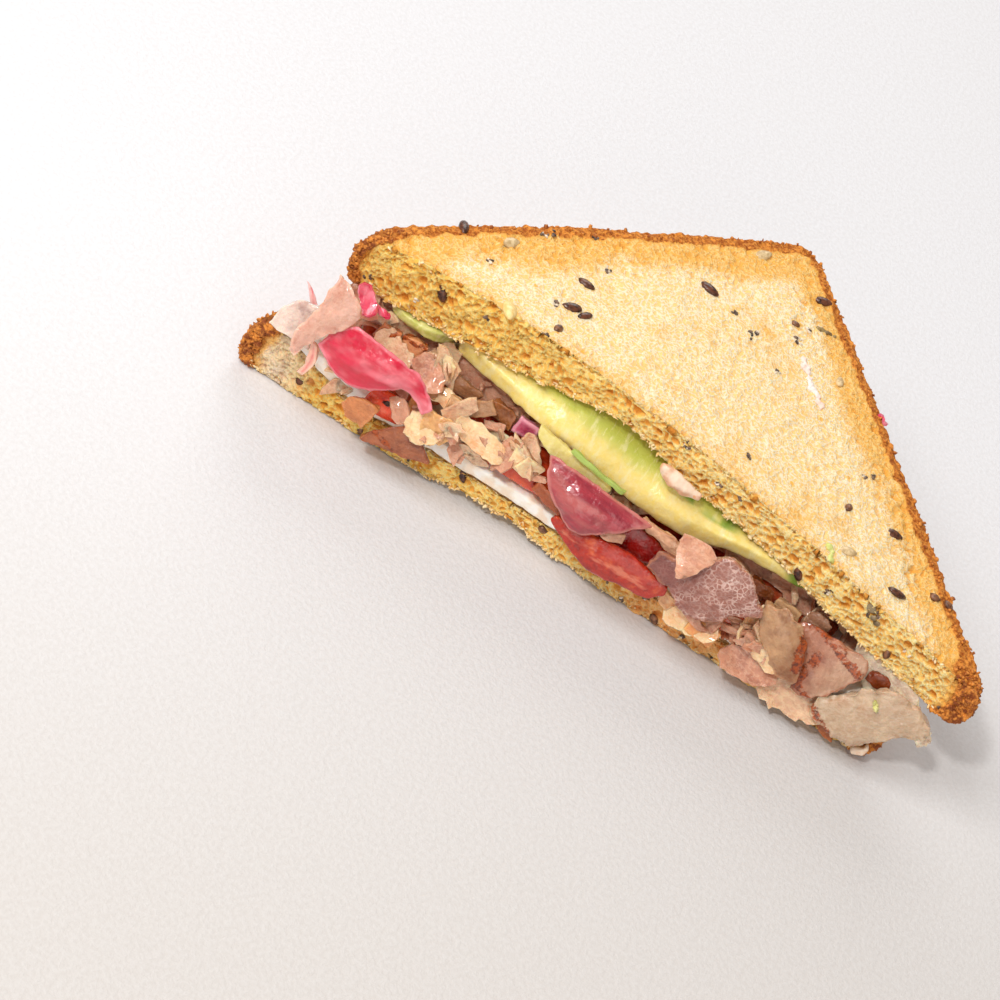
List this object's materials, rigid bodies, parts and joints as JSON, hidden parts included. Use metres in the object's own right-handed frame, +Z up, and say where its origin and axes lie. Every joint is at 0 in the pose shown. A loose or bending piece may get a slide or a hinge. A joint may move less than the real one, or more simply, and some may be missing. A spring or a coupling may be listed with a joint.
{
  "type": "club sandwich",
  "caption": "Half of a club sandwich lying flat: toasted seeded slices cut corner to corner, filled with ham, avocado, tomato, cheese and pickled onion, its cut face open",
  "frame": {"origin": "on the floor, under the middle of the lower half slice: a third of its depth behind the middle of its cut edge", "axes": "+X along the cut, to the right of someone who faces the cut face; +Y away from the cut, to the uncut corner; +Z up"},
  "size_m": [0.1504, 0.084, 0.0391],
  "materials": {
    "toasted_bread": "golden toasted crumb with open pores, dark seeds and a brown granular crust",
    "cheese": "white soft cheese, moist and slightly grainy",
    "tomato": "wet red flesh, orange where thin",
    "avocado": "waxy yellow flesh turning green at the rim",
    "onion": "pickled magenta onion, wet and translucent",
    "ham_pale": "pale cream ham, moist",
    "ham_pink": "pink cooked ham, moist",
    "ham_smoked": "darker smoked ham, marbled with fat",
    "turkey": "white sliced turkey, moist",
    "sauce": "pale pink sauce"
  },
  "bodies": {
    "root": {"avocado_back": "avocado", "avocado_left": "avocado", "avocado_long": "avocado", "avocado_middle": "avocado", "avocado_under_lower": "avocado", "avocado_under_upper": "avocado", "bread_lower": "toasted_bread", "bread_upper": "toasted_bread", "cheese_slab": "cheese", "ham_back_strip": "ham_smoked", "ham_behind_right": "ham_smoked", "ham_beige_low": "ham_pale", "ham_beige_mid": "ham_pink", "ham_block_grey": "ham_pink", "ham_block_left": "ham_pale", "ham_block_mid": "ham_smoked", "ham_cream_block": "ham_pale", "ham_cream_flake": "ham_pale", "ham_cream_low": "ham_pale", "ham_fold_beige": "ham_pale", "ham_folded_left": "ham_pink", "ham_grey_right": "ham_pink", "ham_hanging": "ham_smoked", "ham_heap": "ham_pink", "ham_left_pale": "ham_pale", "ham_low_left": "ham_pink", "ham_marbled": "ham_smoked", "ham_orange_low": "ham_pink", "ham_petal_right": "ham_pale", "ham_pink_right": "ham_pink", "ham_shred_left": "ham_pink", "ham_slab_tilted": "ham_pale", "ham_sliver_low": "ham_pale", "ham_smoked_fold": "ham_smoked", "ham_strip_brown": "ham_smoked", "ham_strip_long": "ham_pale", "ham_strip_orange": "ham_pink", "ham_tip_pale": "ham_pale", "ham_under_avocado": "ham_pale", "ham_upper_right": "ham_pale", "meat_browned": "ham_smoked", "onion_petal_left": "onion", "onion_petal_mid": "onion", "onion_shred_back": "onion", "onion_square": "onion", "onion_strand_low": "onion", "onion_strand_outer": "onion", "sauce_dollop": "sauce", "sauce_drip": "sauce", "tomato_dark": "tomato", "tomato_hanging": "tomato", "tomato_left": "tomato", "tomato_right": "tomato", "tomato_slice_back": "tomato", "tomato_slice_end": "tomato", "tomato_slice_left": "tomato", "tomato_slice_mid": "tomato", "tomato_slice_right": "tomato", "turkey_crust": "ham_smoked", "turkey_slice": "turkey"}
  },
  "joints": []
}
